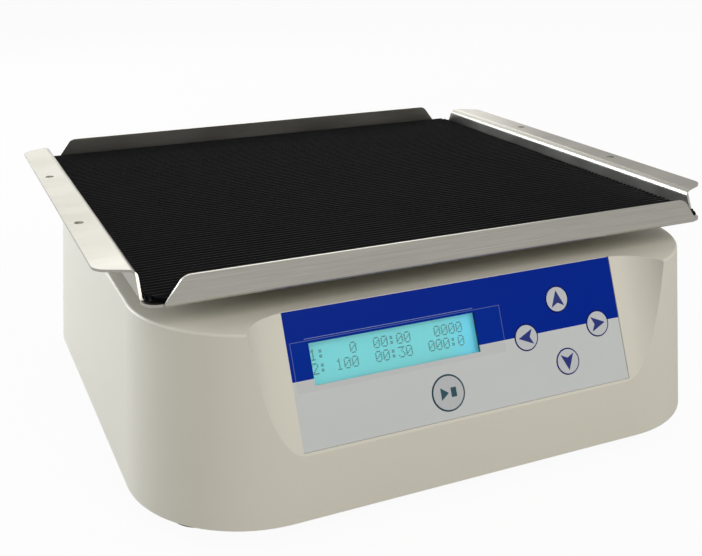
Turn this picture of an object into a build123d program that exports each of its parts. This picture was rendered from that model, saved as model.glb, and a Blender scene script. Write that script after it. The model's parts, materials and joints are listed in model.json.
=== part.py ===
from build123d import *

import math
import os

os.makedirs("parts", exist_ok=True)

# Orbital shaker, in millimetres
# The origin is on the table under the middle of the case. X runs to the right, Y to the back, Z up.
# At rest the crank points to the back, so the platform stands one crank radius behind the case's middle.

# Case sizes
case_bottom = 10.0
case_height = 88.0
case_bottom_width = 305.0
case_bottom_depth = 303.0
case_top_width = 289.0
case_top_depth = 291.0
case_corner = 60.0
case_wall = 3.0
case_edge_round = 1.2

# Front scoop and its sloping control panel
panel_tilt = 23.5
panel_foot_height = 42.0
panel_sill = 0.8  # how far the panel's lower edge lies behind the front wall
panel_width = 172.7
panel_height = 60.9
overlay_thickness = 0.8
overlay_sink = 0.3  # the overlay's face under the scoop's back wall
overlay_gap = 0.15
scoop_half_flat = 84.0
scoop_radius = 24.6
scoop_overrun = 4.0  # the cut starts this far above the case
scoop_underrun = 14.0  # and ends this far below the panel's foot

# Display, placed on the panel from the middle of its lower edge
view_centre = (-34.8, 36.7)
view_width = 83.0
view_height = 18.5
pane_centre = (-32.2, 36.2)
pane_width = 105.3
pane_height = 22.3
pane_gap = 0.1
pane_back_gap = 0.3
glass_width = 88.0
glass_height = 23.0
glass_thickness = 1.6
bezel_width = 97.0
bezel_height = 27.0
bezel_depth = 6.0
bezel_lip = 0.9
bezel_corner = 1.0
module_width = 105.0
module_height = 34.0
module_pillar_radius = 2.5

# Keys: place on the panel and radius
arrow_radius = 6.3
start_radius = 8.3
key_places = {
    "key_up": (52.6, 44.9, arrow_radius),
    "key_left": (32.2, 29.7, arrow_radius),
    "key_right": (73.4, 29.6, arrow_radius),
    "key_down": (52.9, 14.5, arrow_radius),
    "key_start": (-13.5, 12.0, start_radius),
}
key_gap = 0.25
key_proud = 0.2
key_travel = 0.5
key_flange_wider = 1.2
key_flange_thickness = 1.0
key_flange_gap = 0.3
key_stem_radius = 2.0
key_edge_round = 0.3

# Control board behind the panel
board_thickness = 1.6
board_depth = 14.0  # the overlay's face to the board's front
board_width = 156.0
board_height = 52.0
board_centre_up = 30.0
board_pillars = ((-70.0, 7.5), (69.0, 7.5), (30.0, 52.5), (69.0, 52.5))
board_pillar_radius = 3.2
tact_side = 6.2
tact_height = 3.6
tact_plunger_radius = 1.7
tact_plunger_height = 3.0
tact_reach = 0.3  # left between a pressed key's stem and its switch

# Feet and base plate
foot_radius = 18.0
foot_tip_radius = 16.0
foot_height = 12.0
foot_round = 1.5
foot_inset_x = 30.5  # from the case's foot to the middle of a rubber foot
foot_inset_y = 43.0
foot_recess_radius = 6.0
foot_recess_depth = 5.0
plate_thickness = 4.0
plate_gap = 0.6
plate_slot_length = 40.0
plate_slot_width = 3.0
plate_slot_pitch = 8.0
plate_slot_count = 5
plate_slot_x = 62.0
plate_slot_y = -100.0

# Screw bosses of the case
boss_radius = 5.0
boss_pilot_radius = 1.6
boss_pilot_depth = 14.0
boss_corner_inset = (57.5, 37.5)
boss_side_inset = 20.5
boss_side_y = 32.0
rib_thickness = 2.0
rib_reach = 30.0
rib_foot_gap = 12.0

# Screws
small_screw_radius = 1.5
screw_radius = 2.0
large_screw_radius = 2.5
screw_hole_gap = 0.1
head_ratio = 2.0
head_height_ratio = 1.1
socket_ratio = 0.9

# Drive: crank, idlers and platform heights
crank_radius = 10.0
idler_x = 95.0
idler_y = 75.0
platform_gap = 12.0  # case top to the tray's underside
disc_gap = 1.6
disc_thickness = 4.0
disc_round = 0.6
carrier_gap = 0.8
fit = 0.03  # radial gap of a shaft in its bearing
seat_fit = 0.02  # radial gap of a bearing in its seat
step_gap = 0.3  # left along a shaft between a turning shoulder and a fixed face
open_pin_fit = 0.08
shaft_hole_gap = 1.0
splash_rim_width = 2.5
splash_rim_height = 1.1

# Main shaft and its bearing housing
main_journal_radius = 7.5
main_shaft_radius = 10.0
main_disc_radius = 22.0
main_pin_radius = 6.0
main_bearing_radius = 17.5
main_bearing_width = 11.0
main_pin_bearing_radius = 10.5
drive_flange_radius = 45.0
drive_flange_thickness = 8.0
drive_barrel_radius = 25.0
drive_barrel_height = 42.0
drive_shoulder_radius = 14.0
drive_screw_circle = 37.0
drive_screw_count = 4
drive_screw_start = 45.0
drive_rib_thickness = 5.0
drive_rib_height = 26.0
bearing_end_gap = 1.0  # between a bearing and the end of its housing
bearing_recess = 0.6
bearing_race = 0.22  # share of the ring's width that each race takes

# Idler posts and idler cranks
idler_journal_radius = 6.0
idler_shoulder_radius = 8.0
idler_disc_radius = 17.0
idler_pin_radius = 4.0
post_bearing_radius = 14.0
post_bearing_width = 8.0
pin_bearing_radius = 8.0
pin_bearing_width = 5.0
post_flange_radius = 28.0
post_flange_thickness = 6.0
post_barrel_radius = 17.0
post_bore_radius = 11.0
post_top_gap = 3.0
post_screw_circle = 22.8
post_screw_count = 3
post_screw_start = 90.0
post_foot_round = 1.5

# Pulleys, belt and counterweight
pulley_bottom = 62.0
pulley_seat_width = 10.0
pulley_rim_edge = 1.5
pulley_rim_rise = 2.75
driven_radius = 55.25
motor_pulley_radius = 13.25
pulley_rim_thickness = 5.25
pulley_web_thickness = 4.0
pulley_hub_radius = 16.0
pulley_hub_height = 16.0
pulley_hole_radius = 8.5
pulley_hole_circle = 33.0
pulley_hole_count = 3
pulley_hole_start = 40.0  # the holes are on the crank's side, away from the counterweight
pulley_hole_sweep = 150.0
motor_shaft_end = 1.0  # the motor's shaft above its pulley
belt_thickness = 1.5
belt_gap = 0.3
belt_side_gap = 0.3
weight_inner_radius = 17.0
weight_height = 14.0
weight_gap = 0.5
weight_screw_x = 33.0
weight_screw_y = -12.0

# Motor
motor_y = 92.0
motor_radius = 29.0
motor_height = 36.0
motor_boss_radius = 11.0
motor_boss_height = 5.0
motor_shaft_radius = 4.0
motor_shaft_inside = 20.0
motor_round = 2.0
motor_screw_circle = 21.0
motor_screw_count = 4
motor_screw_start = 45.0
motor_screw_depth = 9.0
motor_slot_count = 12
motor_slot_width = 2.5
motor_slot_depth = 1.5
bracket_thickness = 3.0
bracket_half_width = 36.0
bracket_depth = 44.0
bracket_pulley_gap = 5.0
bracket_foot = 16.0
bracket_bend = 4.0
bracket_hole_gap = 0.8
bracket_screw_y = 14.0

# Platform carrier
carrier_plate = 3.0
carrier_hub_radius = 20.0
carrier_boss_radius = 13.0
carrier_arm_width = 20.0
carrier_rail_width = 22.0
carrier_rib_thickness = 3.0
carrier_window_round = 6.0
tray_screw_y = 42.0
tray_screw_length = 4.6

# Tray, folded from one sheet, and the mat on it
sheet = 1.2
sheet_bend = 0.9
tray_width = 289.0
tray_length = 277.0
tray_height = 11.5
lip_width = 15.5
web_foot_half = 128.3
web_top_half = 122.5
lip_corner_half = 115.0
lip_corner_round = 8.0
flange_foot_half = 136.5
flange_top_half = 128.0
flange_corner_round = 6.0
flange_height = 13.0
tab_setback = 2.4
tab_round = 7.0
lip_hole_radius = 2.25
lip_hole_x = 154.0
lip_hole_y = 47.0
mat_thickness = 3.2
mat_side_gap = 0.3
mat_curl = 9.5
mat_drop = 0.7  # the mat's edge under the lip's top
mat_end_gap = 1.0

# Rear connections
recess_left = -96.0
recess_right = 50.0
recess_bottom = 30.0
recess_top = 66.0
recess_depth = 7.7  # at its top edge, where the wall leans in most
recess_round = 4.0
connection_height = 48.0
inlet_x = -70.0
inlet_width = 27.4
inlet_height = 19.6
inlet_corner = 3.0
inlet_depth = 23.0
inlet_flange_width = 50.0
inlet_flange_height = 24.0
inlet_flange_thickness = 3.0
inlet_screw_x = 20.0
socket_width = 24.0
socket_height = 16.0
socket_depth = 17.0
socket_corner = 3.0
pin_width = 2.0
pin_height = 4.0
pin_length = 12.0
pin_spread = 7.0
pin_drop = 1.0
pin_rise = 3.0
switch_x = -22.0
switch_flange_width = 15.0
switch_flange_height = 21.0
switch_flange_thickness = 2.0
switch_body_width = 13.0
switch_body_height = 19.0
switch_body_depth = 14.0
rocker_radius = 8.0
rocker_width = 9.6
rocker_waist = 3.0
rocker_swing = 10.0  # each way from the middle
rocker_gap = 0.3
rocker_pin_radius = 1.2
rocker_pin_length = 1.0
rocker_pivot_inset = 2.0
fuse_x = 34.0
fuse_radius = 5.5
fuse_depth = 24.0
fuse_cap_radius = 8.0
fuse_grip_radius = 7.0
fuse_cap_height = 5.0
fuse_slot_width = 1.6
fuse_slot_depth = 1.8
fuse_grip_count = 10
cutout_gap = 0.2
vent_x = 60.0
vent_pitch = 6.0
vent_count = 6
vent_width = 2.6
vent_bottom = 26.0
vent_height = 40.0

# Power supply board
supply_x = -97.0
supply_width = 48.0
supply_length = 92.0
supply_pillar_height = 8.0
supply_pillar_radius = 3.0
supply_pillar_inset = 5.0
transformer_size = (30.0, 34.0, 24.0)
transformer_y = -22.0
capacitor_radius = 8.0
capacitor_height = 26.0
capacitor_places = ((8.0, 14.0), (-10.0, 14.0))
heatsink_size = (4.0, 26.0, 22.0)
heatsink_place = (17.0, 32.0)

# Heights and places that follow from the sizes above
case_top = case_bottom + case_height
case_inner_top = case_top - case_wall
plate_top = foot_height + plate_thickness
tray_bottom = case_top + platform_gap
disc_bottom = case_top + disc_gap
disc_top = disc_bottom + disc_thickness
carrier_bottom = disc_top + carrier_gap
tray_floor = tray_bottom + sheet
post_top = case_inner_top - post_top_gap
drive_top = plate_top + drive_barrel_height
pulley_width = pulley_seat_width + 2 * pulley_rim_edge
motor_face = pulley_bottom - bracket_thickness - bracket_pulley_gap

low = (Align.CENTER, Align.CENTER, Align.MIN)
high = (Align.CENTER, Align.CENTER, Align.MAX)
corner_signs = {
    "front_left": (-1, -1),
    "front_right": (1, -1),
    "rear_left": (-1, 1),
    "rear_right": (1, 1),
}

tilt_sine = math.sin(math.radians(panel_tilt))
tilt_cosine = math.cos(math.radians(panel_tilt))
tilt_slope = tilt_sine / tilt_cosine


def case_span(height):
    """Width and depth of the case's outside at a height."""
    share = (height - case_bottom) / case_height
    width = case_bottom_width + share * (case_top_width - case_bottom_width)
    depth = case_bottom_depth + share * (case_top_depth - case_bottom_depth)
    return width, depth


panel_y = panel_sill - case_span(panel_foot_height)[1] / 2
panel_plane = Plane(
    origin=(0, panel_y, panel_foot_height), x_dir=(1, 0, 0), z_dir=(0, -tilt_cosine, tilt_sine)
)
recess_y = case_span(recess_top)[1] / 2 - recess_depth
foot_x = case_bottom_width / 2 - foot_inset_x
foot_y = case_bottom_depth / 2 - foot_inset_y
boss_corner = (case_bottom_width / 2 - boss_corner_inset[0], case_bottom_depth / 2 - boss_corner_inset[1])
boss_side = (case_bottom_width / 2 - boss_side_inset, boss_side_y)
wall_back = case_wall - overlay_sink  # the overlay's face to the back of the wall behind it


def panel_at(depth):
    """The panel's plane, moved back into the case."""
    return panel_plane.offset(-depth)


def export(piece, name):
    piece.part.label = name
    export_step(piece.part, f"parts/{name}.step")


def screw(radius, length):
    """A socket screw whose head stands on the origin, with its shank down."""
    with BuildPart() as made:
        Cylinder(radius * head_ratio, radius * head_height_ratio, align=low)
        Cylinder(radius, length, align=high)
        with BuildSketch(Plane.XY.offset(radius * head_height_ratio)):
            RegularPolygon(radius * socket_ratio, 6)
        extrude(amount=-radius * head_height_ratio / 2, mode=Mode.SUBTRACT)
    return made.part


def bearing(inner, outer, width):
    """A ball bearing standing on the origin, its seals set back between the two races."""
    race = (outer - inner) * bearing_race
    with BuildPart() as made:
        with BuildSketch(Plane.XZ):
            with Locations(((inner + outer) / 2, width / 2)):
                Rectangle(outer - inner, width)
            for end in (0, width):
                with Locations(((inner + outer) / 2, end)):
                    Rectangle(outer - inner - 2 * race, 2 * bearing_recess, mode=Mode.SUBTRACT)
        revolve(axis=Axis.Z)
    return made.part


def turned(*steps):
    """A solid of revolution on Z from (radius, lower height, upper height) steps."""
    with BuildPart() as made:
        for radius, bottom, top in steps:
            with Locations((0, 0, bottom)):
                Cylinder(radius, top - bottom, align=low)
    return made.part


# Case


def case_section(height, inset):
    width, depth = case_span(height)
    with BuildSketch(Plane.XY.offset(height)) as section:
        RectangleRounded(width - 2 * inset, depth - 2 * inset, case_corner - inset)
    return section.sketch


scoop_start = case_top + scoop_overrun
scoop_run = (scoop_start - panel_foot_height + scoop_underrun) / tilt_cosine


def scoop_profile(grow):
    """Plan of the scoop at its start above the case; it slopes down with the panel."""
    back = panel_y + (scoop_start - panel_foot_height) * tilt_slope - overlay_sink / tilt_cosine
    with BuildSketch(Plane.XY.offset(scoop_start)) as profile:
        with Locations((0, back + grow)):
            Rectangle(
                2 * (scoop_half_flat + scoop_radius + grow),
                case_corner + grow,
                align=(Align.CENTER, Align.MAX),
            )
        fillet(profile.vertices().group_by(Axis.Y)[-1], scoop_radius + grow)
    return profile.sketch


down_slope = (0, -tilt_sine, -tilt_cosine)
recess_width = recess_right - recess_left
recess_height = recess_top - recess_bottom
recess_x = (recess_left + recess_right) / 2
recess_z = (recess_bottom + recess_top) / 2
rear_plane = Plane(origin=(0, recess_y, 0), x_dir=(-1, 0, 0), z_dir=(0, 1, 0))


def recess_outline(grow):
    with BuildSketch(rear_plane.offset(-grow)) as outline:
        with Locations((-recess_x, recess_z)):
            RectangleRounded(recess_width + 2 * grow, recess_height + 2 * grow, recess_round + grow)
    return outline.sketch


boss_places = [(x * boss_corner[0], y * boss_corner[1]) for x, y in corner_signs.values()]
boss_places += [(x * boss_side[0], y * boss_side[1]) for x, y in corner_signs.values()]
idler_places = [(x * idler_x, y * idler_y) for x, y in corner_signs.values()]

with BuildPart() as case_space:
    loft([case_section(case_bottom, case_wall), case_section(case_inner_top, case_wall)])
    extrude(
        scoop_profile(case_wall / tilt_cosine), amount=scoop_run, dir=down_slope, mode=Mode.SUBTRACT
    )
    extrude(recess_outline(case_wall), amount=case_wall + recess_height, mode=Mode.SUBTRACT)
    with Locations(*[(x, y, plate_top) for x, y in boss_places]):
        Cylinder(boss_radius, case_height, align=low, mode=Mode.SUBTRACT)
    for x, y in boss_places:
        outward = math.copysign(rib_reach / 2, x)
        with Locations((x + outward, y, plate_top + rib_foot_gap)):
            Box(rib_reach, rib_thickness, case_height, align=low, mode=Mode.SUBTRACT)

with BuildPart() as housing:
    loft([case_section(case_bottom, 0), case_section(case_top, 0)])
    fillet(housing.edges().group_by(Axis.Z)[-1], case_edge_round)
    extrude(scoop_profile(0), amount=scoop_run, dir=down_slope, mode=Mode.SUBTRACT)
    extrude(recess_outline(0), amount=recess_height, mode=Mode.SUBTRACT)
    add(case_space.part, mode=Mode.SUBTRACT)
    # Pillars for the control board, then everything that is cut through the panel's wall
    with BuildSketch(panel_at(board_depth)):
        with Locations(*board_pillars):
            Circle(board_pillar_radius)
    extrude(amount=board_depth - wall_back + case_wall / 2)
    with BuildSketch(panel_at(overlay_thickness)):
        with Locations((0, panel_height / 2 + overlay_gap)):
            Rectangle(panel_width + 2 * overlay_gap, panel_height + 4 * overlay_gap)
    extrude(amount=case_wall, mode=Mode.SUBTRACT)
    with BuildSketch(panel_plane):
        with Locations(pane_centre):
            Rectangle(pane_width + 2 * pane_gap, pane_height + 2 * pane_gap)
        for u, v, radius in key_places.values():
            with Locations((u, v)):
                Circle(radius + key_gap)
    extrude(amount=-(wall_back + pane_gap), mode=Mode.SUBTRACT)
    with BuildSketch(panel_at(board_depth)):
        with Locations(*board_pillars):
            Circle(small_screw_radius + screw_hole_gap)
    extrude(amount=board_depth - wall_back - case_wall, mode=Mode.SUBTRACT)
    # Holes and splash rims over the crank and the idlers
    with BuildSketch(Plane.XY.offset(case_top)):
        Circle(main_shaft_radius + shaft_hole_gap + splash_rim_width)
        with Locations(*idler_places):
            Circle(idler_shoulder_radius + shaft_hole_gap + splash_rim_width)
    extrude(amount=splash_rim_height)
    with BuildSketch(Plane.XY.offset(case_inner_top)):
        Circle(main_shaft_radius + shaft_hole_gap)
        with Locations(*idler_places):
            Circle(idler_shoulder_radius + shaft_hole_gap)
    extrude(amount=case_wall + splash_rim_height, mode=Mode.SUBTRACT)
    with Locations(*[(x, y, plate_top) for x, y in boss_places]):
        Cylinder(boss_pilot_radius, boss_pilot_depth, align=low, mode=Mode.SUBTRACT)
    # Rear connections and vents
    with BuildSketch(rear_plane):
        with Locations((-inlet_x, connection_height)):
            Rectangle(inlet_width + 2 * cutout_gap, inlet_height + 2 * cutout_gap)
        with Locations((-switch_x, connection_height)):
            Rectangle(switch_body_width + 2 * cutout_gap, switch_body_height + 2 * cutout_gap)
        with Locations((-fuse_x, connection_height)):
            Circle(fuse_radius + cutout_gap)
        with Locations((-inlet_x - inlet_screw_x, connection_height)):
            Circle(small_screw_radius + screw_hole_gap)
        with Locations((-inlet_x + inlet_screw_x, connection_height)):
            Circle(small_screw_radius + screw_hole_gap)
    extrude(amount=-2 * case_wall, mode=Mode.SUBTRACT)
    vent_middle = vent_bottom + vent_height / 2
    with BuildSketch(rear_plane):
        for i in range(vent_count):
            with Locations((-(vent_x + i * vent_pitch), vent_middle)):
                SlotOverall(vent_height, vent_width, rotation=90)
    extrude(amount=recess_height, mode=Mode.SUBTRACT)
export(housing, "housing")

# Base plate and feet

plate_inset = case_wall + plate_gap
plate_section = case_section(plate_top, plate_inset)
foot_places = [(x * foot_x, y * foot_y) for x, y in corner_signs.values()]


def around(centre, radius, count, start):
    """Places spread evenly on a circle."""
    angles = [math.radians(start + 360 / count * i) for i in range(count)]
    return [(centre[0] + radius * math.cos(a), centre[1] + radius * math.sin(a)) for a in angles]


drive_screw_places = around((0, 0), drive_screw_circle, drive_screw_count, drive_screw_start)
post_screw_places = [
    spot
    for place in idler_places
    for spot in around(place, post_screw_circle, post_screw_count, post_screw_start)
]
bracket_foot_x = bracket_half_width + (bracket_foot + bracket_thickness) / 2
bracket_screw_places = [
    (side * bracket_foot_x, motor_y + end * bracket_screw_y) for side in (-1, 1) for end in (-1, 1)
]

with BuildPart() as base_plate:
    add(plate_section)
    extrude(amount=-plate_thickness)
    through = Plane.XY.offset(foot_height)
    with BuildSketch(through):
        with Locations(*foot_places):
            Circle(large_screw_radius + screw_hole_gap)
        with Locations(*boss_places):
            Circle(screw_radius + screw_hole_gap)
        with Locations(*drive_screw_places):
            Circle(large_screw_radius + screw_hole_gap)
        with Locations(*post_screw_places, *bracket_screw_places):
            Circle(screw_radius + screw_hole_gap)
        for side in (-1, 1):
            for i in range(plate_slot_count):
                with Locations((side * plate_slot_x, plate_slot_y + i * plate_slot_pitch)):
                    SlotOverall(plate_slot_length, plate_slot_width)
    extrude(amount=plate_thickness, mode=Mode.SUBTRACT)
export(base_plate, "base_plate")

for corner, (side, end) in corner_signs.items():
    with BuildPart() as foot:
        with BuildSketch(Plane.XZ):
            with BuildLine():
                Polyline(
                    (0, 0),
                    (foot_tip_radius, 0),
                    (foot_radius, foot_height),
                    (0, foot_height),
                    close=True,
                )
            make_face()
        revolve(axis=Axis.Z)
        fillet(foot.edges().filter_by(GeomType.CIRCLE).group_by(Axis.Z)[0], foot_round)
        Cylinder(foot_recess_radius, foot_recess_depth, align=low, mode=Mode.SUBTRACT)
        Cylinder(large_screw_radius + screw_hole_gap, foot_height, align=low, mode=Mode.SUBTRACT)
    foot.part = foot.part.moved(Location((side * foot_x, end * foot_y, 0)))
    export(foot, f"foot_{corner}")

with BuildPart() as foot_screws:
    with Locations(*[Location((x, y, foot_recess_depth), (180, 0, 0)) for x, y in foot_places]):
        add(screw(large_screw_radius, plate_top - foot_recess_depth))
export(foot_screws, "foot_screws")

with BuildPart() as case_screws:
    with Locations(*[Location((x, y, foot_height), (180, 0, 0)) for x, y in boss_places]):
        add(screw(boss_pilot_radius - screw_hole_gap, plate_thickness + boss_pilot_depth / 2))
export(case_screws, "case_screws")

# Control panel

with BuildPart() as control_overlay:
    with BuildSketch(panel_at(overlay_thickness)):
        with Locations((0, panel_height / 2)):
            Rectangle(panel_width, panel_height)
        with Locations(view_centre):
            Rectangle(view_width, view_height, mode=Mode.SUBTRACT)
        for u, v, radius in key_places.values():
            with Locations((u, v)):
                Circle(radius + key_gap, mode=Mode.SUBTRACT)
    extrude(amount=overlay_thickness)
export(control_overlay, "control_overlay")

with BuildPart() as display_pane:
    with BuildSketch(panel_at(wall_back)):
        with Locations(pane_centre):
            Rectangle(pane_width, pane_height)
    extrude(amount=wall_back - overlay_thickness)
export(display_pane, "display_pane")

bezel_front = wall_back + pane_back_gap
glass_front = bezel_front + bezel_lip

with BuildPart() as display_glass:
    with BuildSketch(panel_at(glass_front + glass_thickness)):
        with Locations(view_centre):
            Rectangle(glass_width, glass_height)
    extrude(amount=glass_thickness)
export(display_glass, "display_glass")

with BuildPart() as display_frame:
    with BuildSketch(panel_at(bezel_front + bezel_depth)):
        with Locations(view_centre):
            RectangleRounded(bezel_width, bezel_height, bezel_corner)
    extrude(amount=bezel_depth)
    with BuildSketch(panel_at(bezel_front)):
        with Locations(view_centre):
            Rectangle(view_width + 2 * bezel_lip, view_height + 2 * bezel_lip)
    extrude(amount=-bezel_depth, mode=Mode.SUBTRACT)
    with BuildSketch(panel_at(glass_front)):
        with Locations(view_centre):
            Rectangle(glass_width + 2 * pane_gap, glass_height + 2 * pane_gap)
    extrude(amount=-bezel_depth, mode=Mode.SUBTRACT)
export(display_frame, "display_frame")

module_front = bezel_front + bezel_depth
pillar_x = module_width / 2 - 2 * module_pillar_radius
pillar_y = module_height / 2 - 1.5 * module_pillar_radius

with BuildPart() as display_board:
    with BuildSketch(panel_at(module_front + board_thickness)):
        with Locations(view_centre):
            Rectangle(module_width, module_height)
    extrude(amount=board_thickness)
    with BuildSketch(panel_at(board_depth)):
        with Locations(view_centre):
            with GridLocations(2 * pillar_x, 2 * pillar_y, 2, 2):
                Circle(module_pillar_radius)
    extrude(amount=board_depth - module_front - board_thickness)
    with BuildSketch(panel_at(module_front)):
        with Locations(view_centre):
            Rectangle(glass_width, glass_height)
    extrude(amount=bezel_depth - bezel_lip - glass_thickness - step_gap)
export(display_board, "display_board")

with BuildPart() as control_board:
    with BuildSketch(panel_at(board_depth + board_thickness)):
        with Locations((0, board_centre_up)):
            Rectangle(board_width, board_height)
        with Locations(*board_pillars):
            Circle(small_screw_radius + screw_hole_gap, mode=Mode.SUBTRACT)
    extrude(amount=board_thickness)
    # The key switches soldered on its front, each a square body with a round plunger
    with BuildSketch(panel_at(board_depth)):
        for u, v, radius in key_places.values():
            with Locations((u, v)):
                Rectangle(tact_side, tact_side)
    extrude(amount=tact_height)
    with BuildSketch(panel_at(board_depth - tact_height)):
        for u, v, radius in key_places.values():
            with Locations((u, v)):
                Circle(tact_plunger_radius)
    extrude(amount=tact_plunger_height)
export(control_board, "control_board")

stem_end = board_depth - tact_height - tact_plunger_height - key_travel - tact_reach

board_screw = screw(small_screw_radius, board_depth - wall_back - case_wall)
with BuildPart() as board_screws:
    screw_plane = Plane(
        origin=panel_at(board_depth + board_thickness).origin,
        x_dir=(1, 0, 0),
        z_dir=(0, tilt_cosine, -tilt_sine),
    )
    with Locations(screw_plane):
        with Locations(*[(u, -v) for u, v in board_pillars]):
            add(board_screw)
export(board_screws, "board_screws")

for name, (u, v, radius) in key_places.items():
    flange_front = wall_back + key_flange_gap
    with BuildPart() as key:
        with BuildSketch(panel_at(flange_front)):
            with Locations((u, v)):
                Circle(radius)
        extrude(amount=flange_front + key_proud)
        front_face = key.faces().sort_by(Axis(panel_plane.origin, panel_plane.z_dir))[-1]
        fillet(front_face.edges(), key_edge_round)
        with BuildSketch(panel_at(flange_front)):
            with Locations((u, v)):
                Circle(radius + key_flange_wider)
        extrude(amount=-key_flange_thickness)
        with BuildSketch(panel_at(flange_front)):
            with Locations((u, v)):
                Circle(key_stem_radius)
        extrude(amount=flange_front - stem_end)
    export(key, name)

# Bearing housing and idler posts

main_seat_radius = main_bearing_radius + seat_fit
main_seat_depth = main_bearing_width + bearing_end_gap
post_seat_radius = post_bearing_radius + seat_fit
post_seat_depth = post_bearing_width + bearing_end_gap

with BuildPart() as drive_housing:
    add(
        turned(
            (drive_flange_radius, plate_top, plate_top + drive_flange_thickness),
            (drive_barrel_radius, plate_top, drive_top),
        )
    )
    # Four ribs stand on the flange between the screws
    with BuildSketch(Plane.XZ):
        with BuildLine():
            Polyline(
                (0, plate_top),
                (drive_flange_radius - drive_rib_thickness, plate_top),
                (drive_flange_radius - drive_rib_thickness, plate_top + drive_flange_thickness),
                (drive_barrel_radius, plate_top + drive_flange_thickness + drive_rib_height),
                (0, plate_top + drive_flange_thickness + drive_rib_height),
                close=True,
            )
        make_face()
    rib = extrude(amount=drive_rib_thickness / 2, both=True)
    for i in range(1, drive_screw_count):
        add(rib.rotate(Axis.Z, 360 / drive_screw_count * i))
    with Locations((0, 0, plate_top)):
        Cylinder(drive_shoulder_radius, drive_barrel_height, align=low, mode=Mode.SUBTRACT)
        Cylinder(main_seat_radius, main_seat_depth, align=low, mode=Mode.SUBTRACT)
    with Locations((0, 0, drive_top)):
        Cylinder(main_seat_radius, main_seat_depth, align=high, mode=Mode.SUBTRACT)
    with Locations(*[(x, y, plate_top) for x, y in drive_screw_places]):
        Cylinder(
            large_screw_radius + screw_hole_gap,
            drive_flange_thickness,
            align=low,
            mode=Mode.SUBTRACT,
        )
export(drive_housing, "drive_housing")

with BuildPart() as main_bearings:
    with Locations(
        (0, 0, plate_top + bearing_end_gap),
        (0, 0, drive_top - bearing_end_gap - main_bearing_width),
    ):
        add(bearing(main_journal_radius + fit, main_bearing_radius, main_bearing_width))
export(main_bearings, "main_bearings")

with BuildPart() as drive_screws:
    with Locations(*[(x, y, plate_top + drive_flange_thickness) for x, y in drive_screw_places]):
        add(screw(large_screw_radius, drive_flange_thickness + plate_thickness))
export(drive_screws, "drive_screws")

for corner, (side, end) in corner_signs.items():
    with BuildPart() as post:
        add(
            turned(
                (post_flange_radius, plate_top, plate_top + post_flange_thickness),
                (post_barrel_radius, plate_top, post_top),
            )
        )
        inner_corner = (
            post.edges()
            .filter_by(GeomType.CIRCLE)
            .filter_by(lambda edge: abs(edge.radius - post_barrel_radius) < fit)
            .group_by(Axis.Z)[0]
        )
        fillet(inner_corner, post_foot_round)
        with Locations((0, 0, plate_top)):
            Cylinder(post_bore_radius, case_height, align=low, mode=Mode.SUBTRACT)
            Cylinder(post_seat_radius, post_seat_depth, align=low, mode=Mode.SUBTRACT)
            with PolarLocations(post_screw_circle, post_screw_count, start_angle=post_screw_start):
                Cylinder(
                    screw_radius + screw_hole_gap, post_flange_thickness, align=low, mode=Mode.SUBTRACT
                )
        with Locations((0, 0, post_top)):
            Cylinder(post_seat_radius, post_seat_depth, align=high, mode=Mode.SUBTRACT)
    post.part = post.part.moved(Location((side * idler_x, end * idler_y, 0)))
    export(post, f"idler_post_{corner}")

post_bearing_levels = (
    plate_top + bearing_end_gap,
    post_top - bearing_end_gap - post_bearing_width,
)
with BuildPart() as post_bearings:
    with Locations(*[(x, y, level) for x, y in idler_places for level in post_bearing_levels]):
        add(bearing(idler_journal_radius + fit, post_bearing_radius, post_bearing_width))
export(post_bearings, "post_bearings")

with BuildPart() as plate_screws:
    with Locations(*[(x, y, plate_top + post_flange_thickness) for x, y in post_screw_places]):
        add(screw(screw_radius, post_flange_thickness + plate_thickness))
    with Locations(*[(x, y, plate_top + bracket_thickness) for x, y in bracket_screw_places]):
        add(screw(screw_radius, bracket_thickness + plate_thickness))
export(plate_screws, "plate_screws")

# Crank: main shaft, its pin, the driven pulley and the counterweight

main_shoulder = drive_top - bearing_end_gap + step_gap
pin_hole_floor = disc_bottom + disc_thickness / 4

with BuildPart() as main_shaft:
    add(
        turned(
            (main_journal_radius, plate_top + bearing_end_gap + step_gap, main_shoulder),
            (main_shaft_radius, main_shoulder, disc_bottom),
            (main_disc_radius, disc_bottom, disc_top),
        )
    )
    disc_edges = (
        main_shaft.edges()
        .filter_by(GeomType.CIRCLE)
        .filter_by(lambda edge: abs(edge.radius - main_disc_radius) < fit)
    )
    chamfer(disc_edges, disc_round)
    with Locations((0, crank_radius, pin_hole_floor)):
        Cylinder(main_pin_radius + seat_fit, disc_thickness, align=low, mode=Mode.SUBTRACT)
export(main_shaft, "main_shaft")

pin_top = tray_bottom - carrier_gap / 2
with BuildPart() as crank_pin:
    with Locations((0, crank_radius, pin_hole_floor)):
        Cylinder(main_pin_radius, pin_top - pin_hole_floor, align=low)
    chamfer(crank_pin.edges().group_by(Axis.Z)[-1], disc_round)
export(crank_pin, "crank_pin")


def pulley(seat_radius, bore, rim_inner, hub_radius, hub_height, web):
    """A flat-belt pulley standing on the pulley level, with a thin web between rim and hub."""
    edge_radius = seat_radius + pulley_rim_rise
    top = pulley_bottom + pulley_width
    with BuildPart() as made:
        add(
            turned(
                (edge_radius, pulley_bottom, pulley_bottom + pulley_rim_edge),
                (seat_radius, pulley_bottom, top),
                (edge_radius, top - pulley_rim_edge, top),
            )
        )
        if web:
            web_bottom = pulley_bottom + (pulley_width - web) / 2
            for bottom, height in (
                (pulley_bottom, web_bottom - pulley_bottom),
                (web_bottom + web, top - web_bottom - web),
            ):
                with Locations((0, 0, bottom)):
                    Cylinder(rim_inner, height, align=low, mode=Mode.SUBTRACT)
        with Locations((0, 0, pulley_bottom)):
            Cylinder(hub_radius, hub_height, align=low)
            Cylinder(bore + seat_fit, hub_height, align=low, mode=Mode.SUBTRACT)
    return made.part


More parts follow.
